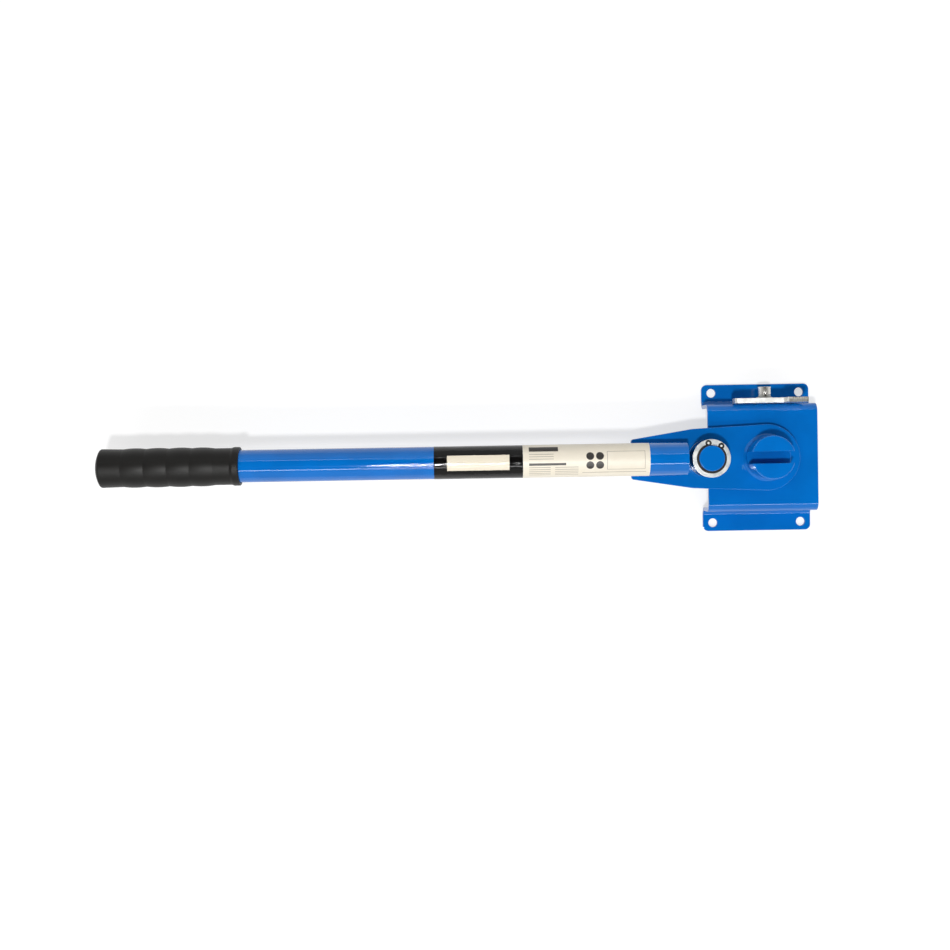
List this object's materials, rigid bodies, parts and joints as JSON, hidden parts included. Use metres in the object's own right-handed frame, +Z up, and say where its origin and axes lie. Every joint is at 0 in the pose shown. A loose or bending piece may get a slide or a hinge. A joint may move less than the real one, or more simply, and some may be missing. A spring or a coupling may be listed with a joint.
{
  "type": "rebar bender",
  "caption": "Bench rebar bender: bolted channel base, long lever on an upright pivot with a slotted post and a roller, and an adjustable stop plate.",
  "frame": {"origin": "centre of the whole tool on the bench plane, with the lever at rest; the pivot axis stands at x = +0.3045 m", "axes": "+X from the handle towards the base, +Y towards the wall that carries the stop, +Z up from the bench"},
  "size_m": [0.715, 0.15, 0.085],
  "materials": {
    "blue_paint": "glossy bright blue paint over steel",
    "zinc_plate": "bright zinc plate",
    "bare_steel": "turned steel, lightly oiled",
    "black_spring_steel": "black oxide on spring steel",
    "bronze": "plain sintered bronze",
    "grip_plastic": "soft black moulded plastic, slightly shiny"
  },
  "bodies": {
    "base": {"base_channel": "blue_paint", "pivot_hub": "blue_paint", "hub_weld": "blue_paint", "pivot_thrust_washer": "bare_steel", "stop_screw": "zinc_plate", "stop_spring_washer": "zinc_plate", "stop_flat_washer": "zinc_plate", "stop_nut": "zinc_plate"},
    "stop": {"stop_plate": "zinc_plate"},
    "lever": {"lever_plate": "blue_paint", "bending_post": "blue_paint", "post_weld": "blue_paint", "lever_tube": "blue_paint", "tube_weld_front": "blue_paint", "tube_weld_back": "blue_paint", "hand_grip": "grip_plastic", "pivot_washer": "zinc_plate", "pivot_circlip": "black_spring_steel", "roller_pin": "blue_paint", "roller_pin_weld": "blue_paint", "roller_lower_washer": "zinc_plate", "roller_top_washer": "zinc_plate", "roller_circlip": "black_spring_steel"},
    "roller": {"bending_roller": "bare_steel", "roller_bush": "bronze"}
  },
  "joints": [
    {"name": "lever_swing", "type": "hinge", "parent": "base", "child": "lever", "pos_m": [0.3045, 0, 0.045], "axis": [0, 0, 1], "range_deg": [-27, 202]},
    {"name": "roller_spin", "type": "hinge", "parent": "lever", "child": "roller", "pos_m": [0.2445, 0, 0.063], "axis": [0, 0, 1], "continuous": true},
    {"name": "stop_swing", "type": "hinge", "parent": "base", "child": "stop", "pos_m": [0.3084, 0.05665, 0.022], "axis": [0, 1, 0], "range_deg": [-12, 12]}
  ]
}
